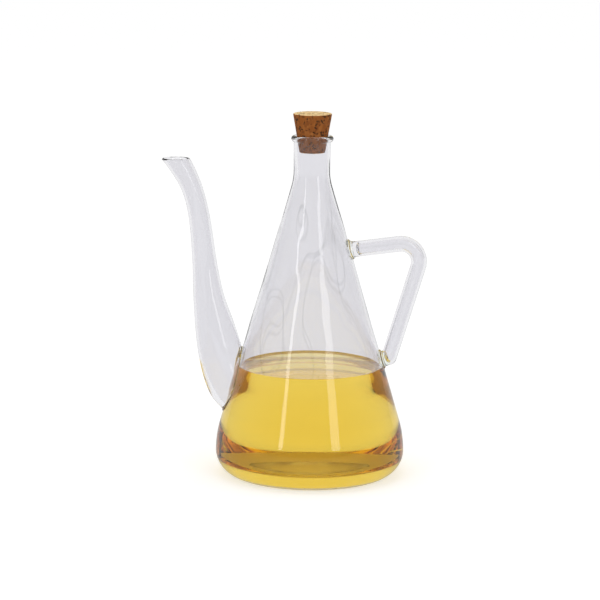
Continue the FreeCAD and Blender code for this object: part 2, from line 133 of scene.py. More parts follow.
def tubeTree():
    tree = bpy.data.node_groups.new("roundTube", "GeometryNodeTree")
    tree.interface.new_socket("Geometry", in_out="INPUT", socket_type="NodeSocketGeometry")
    sides = tree.interface.new_socket("Sides", in_out="INPUT", socket_type="NodeSocketInt")
    sides.default_value = 48
    coat = tree.interface.new_socket("Material", in_out="INPUT", socket_type="NodeSocketMaterial")
    tree.interface.new_socket("Geometry", in_out="OUTPUT", socket_type="NodeSocketGeometry")
    nodes, links = tree.nodes, tree.links
    start = nodes.new("NodeGroupInput")
    end = nodes.new("NodeGroupOutput")
    toCurve = nodes.new("GeometryNodeMeshToCurve")
    thickness = nodes.new("GeometryNodeInputNamedAttribute")
    thickness.data_type = "FLOAT"
    thickness.inputs["Name"].default_value = "tubeRadius"
    ring = nodes.new("GeometryNodeCurvePrimitiveCircle")
    ring.inputs["Radius"].default_value = 1.0
    sweep = nodes.new("GeometryNodeCurveToMesh")
    sweep.inputs["Fill Caps"].default_value = True
    realize = nodes.new("GeometryNodeRealizeInstances")
    paint = nodes.new("GeometryNodeSetMaterial")
    links.new(start.outputs["Geometry"], toCurve.inputs["Mesh"])
    links.new(start.outputs["Sides"], ring.inputs["Resolution"])
    links.new(toCurve.outputs["Curve"], sweep.inputs["Curve"])
    links.new(ring.outputs["Curve"], sweep.inputs["Profile Curve"])
    links.new(thickness.outputs["Attribute"], sweep.inputs["Scale"])
    links.new(sweep.outputs["Mesh"], realize.inputs["Geometry"])
    links.new(realize.outputs["Geometry"], paint.inputs["Geometry"])
    links.new(start.outputs["Material"], paint.inputs["Material"])
    links.new(paint.outputs["Geometry"], end.inputs["Geometry"])
    return tree, sides.identifier, coat.identifier


roundTube, sidesSocket, tubeMaterialSocket = tubeTree()


def tube(name, path, radii, sides, material, closed=False):
    # path is a list of (x, y, z) in millimetres, radii one for each point
    mesh = bpy.data.meshes.new(name)
    count = len(path)
    edges = [(k, k + 1) for k in range(count - 1)]
    if closed:
        edges.append((count - 1, 0))
    mesh.from_pydata([tuple(c * mm for c in p) for p in path], edges, [])
    width = mesh.attributes.new("tubeRadius", "FLOAT", "POINT")
    width.data.foreach_set("value", [r * mm for r in radii])
    made = newObject(name, mesh)
    modifier = made.modifiers.new("tube", "NODES")
    modifier.node_group = roundTube
    modifier[sidesSocket] = sides
    modifier[tubeMaterialSocket] = material
    bpy.context.view_layer.update()
    return outwards(applyModifiers(made))


def outwards(piece):
    work = bmesh.new()
    work.from_mesh(piece.data)
    bmesh.ops.remove_doubles(work, verts=work.verts, dist=1e-7)
    bmesh.ops.recalc_face_normals(work, faces=work.faces)
    work.to_mesh(piece.data)
    work.free()
    return piece


# Materials.

def newMaterial(name):
    material = bpy.data.materials.new(name)
    material.use_nodes = True
    nodes, links = material.node_tree.nodes, material.node_tree.links
    return material, nodes, links, nodes["Principled BSDF"], nodes["Material Output"]


def objectNoise(nodes, links, scale, detail, stretch=(1, 1, 1), kind="ShaderNodeTexNoise"):
    place = nodes.new("ShaderNodeTexCoord")
    turn = nodes.new("ShaderNodeMapping")
    turn.inputs["Scale"].default_value = stretch
    noise = nodes.new(kind)
    noise.inputs["Scale"].default_value = scale
    if "Detail" in noise.inputs:
        noise.inputs["Detail"].default_value = detail
    links.new(place.outputs["Object"], turn.inputs["Vector"])
    links.new(turn.outputs["Vector"], noise.inputs["Vector"])
    return noise


def mixColors(nodes, links, factor, first, second):
    mix = nodes.new("ShaderNodeMix")
    mix.data_type = "RGBA"
    links.new(factor, mix.inputs["Factor"])
    for socket, value in ((mix.inputs["A"], first), (mix.inputs["B"], second)):
        if isinstance(value, tuple):
            socket.default_value = (*value, 1)
        else:
            links.new(value, socket)
    return mix.outputs["Result"]


def stretchRange(nodes, links, value, low, high, toLow=0.0, toHigh=1.0):
    ramp = nodes.new("ShaderNodeMapRange")
    ramp.inputs["From Min"].default_value = low
    ramp.inputs["From Max"].default_value = high
    ramp.inputs["To Min"].default_value = toLow
    ramp.inputs["To Max"].default_value = toHigh
    links.new(value, ramp.inputs["Value"])
    return ramp.outputs["Result"]


def letLampsThrough(nodes, links, surface, output, tint):
    # lamp rays pass with a tint, so that the shadow is as light and as warm as clear glass and oil leave it
    path = nodes.new("ShaderNodeLightPath")
    clear = nodes.new("ShaderNodeBsdfTransparent")
    clear.inputs["Color"].default_value = (*tint, 1)
    mix = nodes.new("ShaderNodeMixShader")
    links.new(path.outputs["Is Shadow Ray"], mix.inputs["Fac"])
    links.new(surface, mix.inputs[1])
    links.new(clear.outputs["BSDF"], mix.inputs[2])
    links.new(mix.outputs["Shader"], output.inputs["Surface"])


def touching(nodes, links):
    # oil and glass bend light alike, so where they touch nothing is mirrored or bent
    film = objectNoise(nodes, links, 80, 1.0)
    clear = nodes.new("ShaderNodeBsdfTransparent")
    tint = mixColors(nodes, links, film.outputs["Fac"], (0.985, 0.985, 0.985), (1.0, 1.0, 1.0))
    links.new(tint, clear.inputs["Color"])
    return clear.outputs["BSDF"]


def oilOnGlass():
    material, nodes, links, _, output = newMaterial("oilOnGlass")
    links.new(touching(nodes, links), output.inputs["Surface"])
    return material


def clearGlass(name, settings):
    material, nodes, links, shader, output = newMaterial(name)
    streaks = objectNoise(nodes, links, settings["streakScale"], 2.0, (1, 1, 0.22))
    tint = mixColors(nodes, links, streaks.outputs["Fac"], settings["tintDark"], settings["tintPale"])
    if settings["reflectionStreaks"]:
        # painted reflection: thin wandering dark lines up the wall stand in for the dark edges of the wall's
        # wavy reflections
        wander = objectNoise(nodes, links, settings["reflectionStreakScale"], 1.0, (1, 1, 0.2))
        apart = nodes.new("ShaderNodeMath")
        apart.operation = "SUBTRACT"
        apart.inputs[1].default_value = 0.5
        links.new(wander.outputs["Fac"], apart.inputs[0])
        size = nodes.new("ShaderNodeMath")
        size.operation = "ABSOLUTE"
        links.new(apart.outputs["Value"], size.inputs[0])
        reach, depth = settings["reflectionStreakWidth"], settings["reflectionStreaks"]
        paintedStreak = stretchRange(nodes, links, size.outputs["Value"], 0.0, reach, depth, 0.0)
        tint = mixColors(nodes, links, paintedStreak, tint, settings["reflectionStreakTint"])
    links.new(tint, shader.inputs["Base Color"])
    gloss = stretchRange(nodes, links, streaks.outputs["Fac"], 0.3, 0.7, *settings["roughness"])
    links.new(gloss, shader.inputs["Roughness"])
    shader.inputs["IOR"].default_value = settings["ior"]
    shader.inputs["Transmission Weight"].default_value = settings["transmission"]
    swell = objectNoise(nodes, links, settings["swellScale"], 1.0, (1, 1, 0.3))
    bump = nodes.new("ShaderNodeBump")
    bump.inputs["Strength"].default_value = settings["bumpStrength"]
    bump.inputs["Distance"].default_value = settings["bumpHeight"] * mm
    links.new(swell.outputs["Fac"], bump.inputs["Height"])
    links.new(bump.outputs["Normal"], shader.inputs["Normal"])
    letLampsThrough(nodes, links, shader.outputs["BSDF"], output, settings["shadowTint"])
    return material


glassLook = {
    "tintDark": (0.85, 0.846, 0.872),
    "tintPale": (0.88, 0.877, 0.898),
    "streakScale": 60,
    "swellScale": 45,
    "roughness": (0.0, 0.012),
    "ior": 1.47,
    "transmission": 1.0,
    "bumpStrength": 0.5,
    "bumpHeight": 0.25,
    # dark wandering lines painted up the dry wall: painted reflection streaks
    "reflectionStreaks": 0.55,
    "reflectionStreakScale": 38,
    "reflectionStreakWidth": 0.012,
    "reflectionStreakTint": (0.60, 0.60, 0.62),
    "shadowTint": (0.965, 0.965, 0.965),
}
wetLook = dict(
    glassLook,
    tintDark=(0.877, 0.88, 0.89),
    tintPale=(0.903, 0.906, 0.915),
    reflectionStreaks=0,
    bumpStrength=0.2,
    bumpHeight=0.1,
)
# painted light: the underside glass is left all but untinted, so the disc under the oil reads brighter than
# the rest of the wall
litUndersideLook = dict(wetLook, tintDark=(0.975, 0.975, 0.975), tintPale=(1.0, 1.0, 1.0))
# the rubbed ring the bottle stands on: frosted wear, drawn pale grey and half opaque, so that it also stands
# in for the highlight line along the bottom rim (partly painted highlight)
footRingAndRimHighlightLook = dict(
    glassLook,
    tintDark=(0.80, 0.79, 0.76),
    tintPale=(0.88, 0.87, 0.84),
    reflectionStreaks=0,
    roughness=(0.15, 0.3),
    transmission=0.35,
)
tubeLook = dict(glassLook, reflectionStreaks=0, bumpStrength=0.3, bumpHeight=0.15)
weldLook = dict(
    glassLook,
    tintDark=(0.80, 0.86, 0.80),
    tintPale=(0.87, 0.91, 0.85),
    swellScale=160,
    bumpStrength=0.5,
    bumpHeight=0.5,
    reflectionStreaks=0,
)
clearGlassMaterial = clearGlass("clearGlass", glassLook)
wetGlassMaterial = clearGlass("wetGlass", wetLook)  # the outside of the wall where oil stands behind it
tubeMaterial = clearGlass("tubeGlass", tubeLook)
touchMaterial = oilOnGlass()
# pale foot ring: partly real rubbed wear, partly painted highlight along the bottom rim
footRingAndRimHighlightMaterial = clearGlass("footGlassAndRimHighlight", footRingAndRimHighlightLook)  # the rubbed ring that the bottle stands on
litUndersideMaterial = clearGlass("litUndersideGlass", litUndersideLook)
weldMaterial = clearGlass("weldedGlass", weldLook)


# The blown bottle.

bottle = {
    "base": 105.0,
    "bellyHeight": 13.3,
    "corner": 14.0,
    "shoulder": 58.0,
    "footEdge": 1.2,
    "neck": 20.4,
    "neckBlend": 30.0,
    "height": 189.9,
    "wall": 1.6,
    "floor": 3.8,
    "floorEdge": 6.0,
    "coneLean": 16.3,
    "lipBead": 1.7,
    "lipRing": 9.95,
    "segments": 180,
    "waveDepth": 0.5,
    "dimple": 1.1,
    "ringDepth": 0.02,
    "ringStep": 7.5,
    "ringReach": 36,
    "underLip": 4,  # how far below the top the neck's straight side ends
    "footRing": 1.7,
    "footStart": 0.02,
    # the pale middle is painted light: its glass is left untinted so that it reads bright
    "underside": 40,  # radius of the pale middle of the underside
    "clearingInset": 0.8,  # what stands farther in than this is cut off the spout and the handle
    "clearingFloor": 1.9,
    "wetTop": 61.3,  # the oil wets the inside up to here
}


def wallWave(height, turn):
    # blown glass is never quite round: slow swells, none at the base, belly or lip
    swell = math.sin(height / 9.1 + 2.1 * math.sin(2 * turn + 0.6)) * math.cos(3 * turn + height / 23.0)
    swell += 0.7 * math.sin(height / 5.3 + 5 * turn + 1.3) * math.sin(2 * turn - height / 31.0)
    wander = 1.5 * math.sin(height / 12.0 + 0.4) + 0.7 * math.sin(height / 4.6 + 2.0 * turn)
    flute = math.sin(9 * turn + wander)
    flute *= 0.6 + 0.4 * math.sin(height / 17.0 + 3 * turn)
    fade = min(1.0, max(0.0, (height - 40) / 40)) ** 2 * min(1.0, max(0.0, (184 - height) / 10))
    return -bottle["waveDepth"] * fade * (0.5 + 0.15 * swell + 0.22 * flute)


def wallLine(inset, floor, edge, top=None):
    # from the axis out along the floor, round the corner and shoulder, up the cone and the neck
    lean = degrees(bottle["coneLean"])
    sine, cosine = math.sin(lean), math.cos(lean)
    belly, corner = bottle["base"] / 2 - inset, bottle["corner"] - inset
    shoulder, blend = bottle["shoulder"] - inset, bottle["neckBlend"] + inset
    neck, bellyHeight = bottle["neck"] / 2 - inset, bottle["bellyHeight"]
    cornerCentre = (belly - corner, bellyHeight)
    drop = bellyHeight - floor - edge
    edgeCentre = (cornerCentre[0] + math.sqrt((corner - edge) ** 2 - drop**2), floor + edge)
    edgeAngle = math.degrees(math.atan2(edgeCentre[0] - cornerCentre[0], drop)) - 90
    shoulderCentre = (belly - shoulder, bellyHeight)
    coneFoot = (shoulderCentre[0] + shoulder * cosine, bellyHeight + shoulder * sine)
    blendFoot = neck + blend * (1 - cosine)
    blendFootHeight = coneFoot[1] + (coneFoot[0] - blendFoot) * cosine / sine
    blendTop = blendFootHeight + blend * sine
    points = linePoints((0, floor), (edgeCentre[0], floor), 24)
    points += arcPoints(edgeCentre, edge, -90, edgeAngle, 8)
    points += arcPoints(cornerCentre, corner, edgeAngle, 0, 18)
    points += arcPoints(shoulderCentre, shoulder, 0, bottle["coneLean"], 14)
    if top is not None:
        share = (top - coneFoot[1]) / (blendFootHeight - coneFoot[1])
        reach = coneFoot[0] + (blendFoot - coneFoot[0]) * share
        return tidyLine(points + linePoints(coneFoot, (reach, top), 26))
    points += linePoints(coneFoot, (blendFoot, blendFootHeight), 84)
    points += arcPoints((neck + blend, blendTop), blend, 180 + bottle["coneLean"], 180, 10)
    points += linePoints((neck, blendTop), (neck, bottle["height"] - bottle["underLip"]), 8)
    return tidyLine(points)


def outsideRadius(height):
    line = outsideLine
    for low, high in zip(line[:-1], line[1:]):
        if low[1] <= height <= high[1] and low[1] < high[1] and low[0] > 20:
            return low[0] + (high[0] - low[0]) * (height - low[1]) / (high[1] - low[1])
    return bottle["neck"] / 2


def pushedUp(line):
    # the underside rises a little to a ringed middle
    points = []
    for radius, height in line:
        if height == 0 and radius < bottle["ringReach"]:
            share = 1 - (radius / bottle["ringReach"]) ** 2
            ring = math.sin(radius * 2 * math.pi / bottle["ringStep"]) * bottle["ringDepth"]
            height = bottle["dimple"] * share**2 + max(0.0, share) * (ring + bottle["ringDepth"])
        points.append((radius, height))
    return points


outsideLine = wallLine(0, 0, bottle["footEdge"])
insideLine = wallLine(bottle["wall"], bottle["floor"], bottle["floorEdge"])
dry = next(k for k, point in enumerate(insideLine) if point[1] > bottle["wetTop"])
share = (bottle["wetTop"] - insideLine[dry - 1][1]) / (insideLine[dry][1] - insideLine[dry - 1][1])
wetEdge = insideLine[dry - 1][0] + (insideLine[dry][0] - insideLine[dry - 1][0]) * share
insideLine = tidyLine(insideLine[:dry] + [(wetEdge, bottle["wetTop"])] + insideLine[dry:])
lipCentre = (bottle["lipRing"], bottle["height"] - bottle["lipBead"])
lipStart = math.degrees(math.acos((bottle["neck"] / 2 - lipCentre[0]) / bottle["lipBead"]))
lipEnd = math.degrees(math.acos((bottle["neck"] / 2 - bottle["wall"] - lipCentre[0]) / bottle["lipBead"]))
lipLine = arcPoints(lipCentre, bottle["lipBead"], -lipStart, lipEnd, 26)
undersideLine = pushedUp(
    [(radius, 0.0) for radius in np.linspace(0, bottle["ringReach"], 44)]
    + [point for point in outsideLine if point[0] > bottle["ringReach"] or point[1] > 0]
)
wallRing = tidyLine(undersideLine + lipLine + insideLine[::-1])
glass = spin("glassBottle", wallRing, bottle["segments"], wallWave)
wallMaterials = {
    "dry": clearGlassMaterial,
    "wet": wetGlassMaterial,
    "touching": touchMaterial,
    "foot": footRingAndRimHighlightMaterial,
    "underside": litUndersideMaterial,
}
for material in wallMaterials.values():
    glass.data.materials.append(material)


def wallPart(middle):
    # which look a face of the wall has, by its middle in millimetres
    if middle.z >= bottle["wetTop"]:
        return "dry"
    aside = middle.xy.length
    if middle.z < bottle["footRing"] and aside > bottle["underside"] and middle.z > bottle["footStart"]:
        return "foot"
    if middle.z <= bottle["footRing"] and aside <= bottle["underside"]:
        return "underside"
    outside = aside > outsideRadius(middle.z) - bottle["wall"] * 0.75
    return "wet" if outside or middle.z < bottle["floor"] / 2 else "touching"


partNumbers = {part: number for number, part in enumerate(wallMaterials)}
for face in glass.data.polygons:
    face.material_index = partNumbers[wallPart(face.center / mm)]
print("bottle wall spun:", len(glass.data.polygons), "faces")


# The spout.

spout = {
    # axis from beyond the mouth down to the toe: x, height, lean from upright, outside diameter, wall
    "stations": [
        (-80.07, 184.16, 34.0, 14.2, 1.25),
        (-75.04, 176.7, 34.0, 13.0, 1.25),
        (-65.74, 159.0, 19.0, 11.4, 1.25),
        (-61.64, 141.2, 8.0, 11.8, 1.25),
        (-58.94, 117.5, 6.5, 13.7, 1.25),
        (-56.44, 97.3, 10.0, 17.6, 1.25),
        (-52.94, 80.5, 12.0, 22.4, 1.25),
        (-49.64, 66.0, 13.5, 24.8, 1.25),
        (-43.44, 48.4, 24.0, 25.6, 3.0),
        (-38.04, 38.0, 35.0, 18.0, 3.0),
    ],
    "mouthHeight": 176.7,
    "rimRadius": 0.62,
    "sides": 72,
    "stepsEach": 12,
    "weldBead": 0.8,
    "passage": 3.0,
    "passageHeight": 67.5,
}


def hermite(t):
    # weights of the first point, its slope, the second point and its slope
    return (2 * t**3 - 3 * t**2 + 1, t**3 - 2 * t**2 + t, -2 * t**3 + 3 * t**2, t**3 - t**2)


def smoothPath(stations, steps):
    # a curve through the stations that keeps each one's lean; diameters follow with it
    rows = []
    for first, second in zip(stations[:-1], stations[1:]):
        a, b = np.array([first[0], first[1]]), np.array([second[0], second[1]])
        span = np.linalg.norm(b - a)
        leans = (degrees(first[2]), degrees(second[2]))
        directions = [np.array([math.sin(lean), -math.cos(lean)]) * span for lean in leans]
        for t in np.linspace(0, 1, steps, endpoint=False):
            h = hermite(t)
            at = h[0] * a + h[1] * directions[0] + h[2] * b + h[3] * directions[1]
            rows.append((at[0], 0.0, at[1]))
    rows.append((stations[-1][0], 0.0, stations[-1][1]))
    count = len(stations)
    parts = np.linspace(0, 1, steps, endpoint=False)
    places = [k + t for k in range(count - 1) for t in parts] + [count - 1]
    diameters = cubicThrough([s[3] for s in stations], places)
    walls = np.interp(places, range(count), [s[4] for s in stations])
    return rows, diameters, walls


def cubicThrough(values, places):
    values = np.array(values, float)
    slopes = np.gradient(values)
    result = []
    for place in places:
        k = min(int(place), len(values) - 2)
        h = hermite(place - k)
        result.append(h[0] * values[k] + h[1] * slopes[k] + h[2] * values[k + 1] + h[3] * slopes[k + 1])
    return np.array(result)


spoutPath, spoutDiameters, spoutWalls = smoothPath(spout["stations"], spout["stepsEach"])


def sectionPoint(path, index, radius, angle):
    before, after = path[max(0, index - 1)], path[min(len(path) - 1, index + 1)]
    along = Vector((after[0] - before[0], 0, after[2] - before[2])).normalized()
    aside = Vector((-along.z, 0, along.x))
    centre = Vector(path[index])
    return centre + aside * math.cos(angle) * radius + Vector((0, 1, 0)) * math.sin(angle) * radius


def meetingLine(path, radii, count):
    # where a tube's surface goes into the bottle, one point for each direction round the tube
    points = []
    for k in range(count):
        angle = 2 * math.pi * k / count
        last = None
        for index in range(len(path)):
            point = sectionPoint(path, index, radii[index], angle)
            depth = math.hypot(point.x, point.y) - outsideRadius(point.z)
            if last is not None and last[1] > 0 >= depth:
                share = last[1] / (last[1] - depth)
                points.append(tuple(last[0].lerp(point, share)))
                break
            last = (point, depth)
    return points


def ballEnd(path, radii, atStart=False, steps=8):
    # closes a tube with a half ball
    if atStart:
        path, radii = ballEnd(path[::-1], radii[::-1], False, steps)
        return path[::-1], radii[::-1]
    end, radius = Vector(path[-1]), radii[-1]
    along = (end - Vector(path[-2])).normalized()
    for k in range(1, steps):
        angle = math.pi / 2 * k / steps
        path = path + [tuple(end + along * radius * math.sin(angle))]
        radii = radii + [radius * math.cos(angle)]
    return path, radii


spoutRadii = [d / 2 for d in spoutDiameters]
boreRadii = [d / 2 - w for d, w in zip(spoutDiameters, spoutWalls)]
joints = tube("spoutOutside", spoutPath, spoutRadii, spout["sides"], tubeMaterial)
spoutBore = tube("spoutBore", spoutPath, boreRadii, spout["sides"], tubeMaterial)
combine(joints, [spoutBore], "DIFFERENCE")
mouthLevel = spout["mouthHeight"] - spout["rimRadius"]
cutCorners = ((-110, -20), (-50, -20), (-50, 20), (-110, 20))
mouthCut = closedMesh(
    "mouthCut",
    [(x * mm, y * mm, z * mm) for z in (mouthLevel, 220) for x, y in cutCorners],
    [(3, 2, 1, 0), (4, 5, 6, 7), (0, 1, 5, 4), (1, 2, 6, 5), (2, 3, 7, 6), (3, 0, 4, 7)],
)
combine(joints, [mouthCut], "DIFFERENCE")


def rimLine(path, radii, height, count):
    points = []
    for k in range(count):
        angle = 2 * math.pi * k / count
        last = None
        for index in range(len(path)):
            point = sectionPoint(path, index, radii[index], angle)
            if last is not None and last.z > height >= point.z:
                points.append(tuple(last.lerp(point, (last.z - height) / (last.z - point.z))))
                break
            last = point
    return points


middleRadii = [(a + b) / 2 for a, b in zip(spoutRadii, boreRadii)]
rim = rimLine(spoutPath, middleRadii, mouthLevel, 96)
spoutRim = tube("spoutRim", rim, [spout["rimRadius"]] * len(rim), 16, tubeMaterial, closed=True)
spoutMeeting = meetingLine(spoutPath, spoutRadii, 120)
beadRadii = [spout["weldBead"] * (0.75 + 0.25 * math.sin(k / 120 * 14)) for k in range(len(spoutMeeting))]
spoutWeld = tube("spoutWeld", spoutMeeting, beadRadii, 14, weldMaterial, closed=True)
print("spout made, rim points", len(rim), "weld points", len(spoutMeeting))


# The handle.

handle = {
    "diameter": 8.7,
    "wall": 1.4,
    "corner": (63.71, 131.9),
    "topRise": 7.4,
    "lowerLean": 16.8,
    "bend": 10.0,
    "footHeight": 65.9,
    "boreStart": 24.6,
    "boreEnd": 66.2,
    "weldFlare": 0.75,
    "weldLength": 3.4,
    "weldBead": 0.75,
    "sides": 56,
    "beadSides": 12,
}


def handleLine(startX, endHeight, step=1.6):
    rise, lean = degrees(handle["topRise"]), degrees(handle["lowerLean"])
    corner = Vector((handle["corner"][0], 0, handle["corner"][1]))
    outwardsLine = Vector((math.cos(rise), 0, math.sin(rise)))
    downwardsLine = Vector((-math.sin(lean), 0, -math.cos(lean)))
    turn = math.pi / 2 + rise + lean
    tangent = handle["bend"] * math.tan(turn / 2)
    bendStart, bendEnd = corner - outwardsLine * tangent, corner + downwardsLine * tangent
    centre = bendStart + Vector((math.sin(rise), 0, -math.cos(rise))) * handle["bend"]
    start = corner - outwardsLine * ((corner.x - startX) / outwardsLine.x)
    end = corner + downwardsLine * ((corner.z - endHeight) / math.cos(lean))
    firstCount = max(2, round((bendStart - start).length / step))
    lastCount = max(2, round((end - bendEnd).length / step))
    path = [start.lerp(bendStart, t) for t in np.linspace(0, 1, firstCount)]
    for angle in np.linspace(math.pi / 2 + rise, -lean, 18)[1:]:
        path.append(centre + Vector((math.cos(angle), 0, math.sin(angle))) * handle["bend"])
    path += [bendEnd.lerp(end, t) for t in np.linspace(0, 1, lastCount)[1:]]
    return [tuple(p) for p in path]


handlePath = handleLine(0.0, handle["footHeight"])
handleRadii = []
for x, _, z in handlePath:
    beyond = x - outsideRadius(z)
    flare = max(0.0, 1 - max(0.0, beyond) / handle["weldLength"]) if z > 100 else 0.0
    handleRadii.append(handle["diameter"] / 2 + handle["weldFlare"] * flare**2)
handleMeeting = meetingLine(handlePath[::-1], handleRadii[::-1], 60)
footPath, footRadii = ballEnd(handlePath, handleRadii)
handleTube = tube("handleOutside", footPath, footRadii, handle["sides"], tubeMaterial)
boreRadius = handle["diameter"] / 2 - handle["wall"]
borePath = handleLine(handle["boreStart"] + boreRadius, handle["boreEnd"] + 0.3)
borePath, handleBoreRadii = ballEnd(borePath, [boreRadius] * len(borePath))
borePath, handleBoreRadii = ballEnd(borePath, handleBoreRadii, atStart=True)
handleBore = tube("handleBore", borePath, handleBoreRadii, 40, tubeMaterial)

foot = Vector(handlePath[-1])
lean = degrees(bottle["coneLean"])
coneNormal = Vector((-math.cos(lean), 0, -math.sin(lean)))
footGap = (foot.x - outsideRadius(foot.z)) * math.cos(lean)
weldSteps = np.linspace(0, footGap + bottle["wall"] * 0.5, 9)
footWeldPath = [tuple(foot + coneNormal * s) for s in weldSteps]
footWeldRadii = [handle["diameter"] / 2 * 0.985 + handle["weldFlare"] * (k / 8) ** 2 for k in range(9)]
footWeld = tube("footWeld", footWeldPath, footWeldRadii, 48, weldMaterial)
footMeeting = meetingLine(footWeldPath, footWeldRadii, 60)
topBeadRadii = [handle["weldBead"]] * len(handleMeeting)
topBead = tube("topBead", handleMeeting, topBeadRadii, handle["beadSides"], weldMaterial, closed=True)
footBeadRadii = [handle["weldBead"]] * len(footMeeting)
footBead = tube("footBead", footMeeting, footBeadRadii, handle["beadSides"], weldMaterial, closed=True)

combine(joints, [spoutRim, handleTube, footWeld, spoutWeld, topBead, footBead], "UNION")
clearingLine = wallLine(bottle["clearingInset"], bottle["clearingFloor"], bottle["footEdge"])
insideClearing = spin("insideClearing", clearingLine + [(0, bottle["height"] - bottle["underLip"])], 160)
combine(joints, [insideClearing], "DIFFERENCE")
combine(glass, [joints], "UNION")
holeAxis = Vector((-math.cos(lean), 0, math.sin(lean)))
holeCentre = Vector((-outsideRadius(spout["passageHeight"]), 0, spout["passageHeight"]))
passage = tube(
    "passage",
    [tuple(holeCentre - holeAxis * 4.6), tuple(holeCentre), tuple(holeCentre + holeAxis * 4.2)],
    [spout["passage"]] * 3,
    32,
    clearGlassMaterial,
)
combine(glass, [handleBore, passage], "DIFFERENCE")
smooth(glass, 32)
glass.data.name = glass.name = "glassBottle"
print("glass joined:", sum(len(face.vertices) - 2 for face in glass.data.polygons), "triangles")


# The oil.

oil = {
    "level": 60.2,
    "reach": 0.28,  # how far the oil goes into the wall, so that no air shows between them
    "meniscusRise": 1.1,
    "meniscusWidth": 1.5,
    "color": (0.9867, 0.86, 0.10),
    "density": 30.0,
    "ior": 1.47,
    "shadowTint": (0.985, 0.93, 0.72),
    # painted shade: the dark brown colour given to the meniscus where it climbs the wall
    "meniscusShadeTint": (0.34, 0.20, 0.05),
    "edgeStart": 0.12,  # the surface this far above the level counts as the edge that climbs the wall
}


def makeOilMaterial():
    material, nodes, links, shader, output = newMaterial("oliveOil")
    clouds = objectNoise(nodes, links, 24, 2.0, (1, 1, 1.6))
    tint = mixColors(nodes, links, clouds.outputs["Fac"], (0.985, 0.975, 0.93), (1.0, 0.995, 0.975))
    # painted shade: the meniscus where the oil climbs the wall is coloured dark brown
    edge = nodes.new("ShaderNodeAttribute")
    edge.attribute_name = "paintedMeniscusShade"
    shown = mixColors(nodes, links, edge.outputs["Fac"], tint, oil["meniscusShadeTint"])
    links.new(shown, shader.inputs["Base Color"])
    shader.inputs["Roughness"].default_value = 0.0
    shader.inputs["IOR"].default_value = oil["ior"]
    shader.inputs["Transmission Weight"].default_value = 1.0
    top = nodes.new("ShaderNodeAttribute")
    top.attribute_name = "onTop"
    side = nodes.new("ShaderNodeMixShader")
    links.new(top.outputs["Fac"], side.inputs["Fac"])
    links.new(touching(nodes, links), side.inputs[1])
    links.new(shader.outputs["BSDF"], side.inputs[2])
    letLampsThrough(nodes, links, side.outputs["Shader"], output, oil["shadowTint"])
    body = nodes.new("ShaderNodeVolumeAbsorption")
    body.inputs["Color"].default_value = (*oil["color"], 1)
    body.inputs["Density"].default_value = oil["density"]
    links.new(body.outputs["Volume"], output.inputs["Volume"])
    return material


def oilProfile():
    reach = oil["reach"]
    rise, width = oil["meniscusRise"], oil["meniscusWidth"]
    inset, floor, rounding = bottle["wall"] - reach, bottle["floor"] - reach, bottle["floorEdge"] + reach
    wall = wallLine(inset, floor, rounding, oil["level"] + rise)
    edge = wall[-1][0]
    surface = []
    for distance in (0.15, 0.35, 0.6, 0.9, 1.3, 1.8, 2.4, 3.2, 4.5, 6.5, 10, 16, 24):
        height = oil["level"] + rise * math.exp(-((distance / width) ** 1.3))
        surface.append((edge - distance, height))
    return wall + surface + [(0, oil["level"])]


oilPiece = spin("oilFill", oilProfile(), bottle["segments"], wallWave)
oilPiece.data.materials.append(makeOilMaterial())
for name in ("onTop", "paintedMeniscusShade"):
    oilPiece.data.attributes.new(name, "FLOAT", "FACE")
onTop, paintedMeniscusShade = (oilPiece.data.attributes[name] for name in ("onTop", "paintedMeniscusShade"))
for face in oilPiece.data.polygons:
    isTop = face.center.z > (oil["level"] - 0.01) * mm and face.normal.z > 0.3
    onTop.data[face.index].value = float(isTop)
    # marks the climbing meniscus for its painted dark shade
    paintedMeniscusShade.data[face.index].value = float(isTop and face.center.z > (oil["level"] + oil["edgeStart"]) * mm)
smooth(oilPiece, 40)
print("oil made:", len(oilPiece.data.polygons), "faces")


# The cork.

cork = {
    "low": 180.63,
    "high": 202.13,
    "seatRadius": 8.55,
    "seatHeight": 189.23,
    "lean": 9.8,
    "edge": 0.6,
    "pits": 190,
    "pitSize": 0.62,
    "seed": 7,
    # dark, middle and light grain, then the flecks
    "sideColors": ((0.19, 0.052, 0.008), (0.29, 0.088, 0.015), (0.38, 0.135, 0.03), (0.05, 0.014, 0.004)),
    # the top's colours are far lighter than the side's: partly cut end grain, partly painted light from
    # above
    "topLitColors": ((0.80, 0.50, 0.20), (0.93, 0.65, 0.31), (0.97, 0.80, 0.45), (0.42, 0.18, 0.06)),
    # the pits' insides are near black: partly the dark matter in cork pores, partly painted shade in the
    # hollows
    "poreAndShadeColors": ((0.035, 0.014, 0.006), (0.12, 0.055, 0.022)),
}


def corkRadius(height):
    return cork["seatRadius"] + (height - cork["seatHeight"]) * math.tan(degrees(cork["lean"]))


def corkColors(nodes, links, colors):
    grains = objectNoise(nodes, links, 620, 0, (1, 1, 0.75), "ShaderNodeTexVoronoi")
    cloud = objectNoise(nodes, links, 190, 6.0, (1, 1, 0.8))
    flecks = objectNoise(nodes, links, 900, 3.0, (1, 1, 0.5))
    dark, middle, light, fleck = colors
    spread = stretchRange(nodes, links, grains.outputs["Color"], 0.1, 0.9)
    base = mixColors(nodes, links, spread, dark, light)
    soft = mixColors(nodes, links, stretchRange(nodes, links, cloud.outputs["Fac"], 0.3, 0.7), base, middle)
    spots = stretchRange(nodes, links, flecks.outputs["Fac"], 0.60, 0.68)
    return mixColors(nodes, links, spots, soft, fleck), cloud


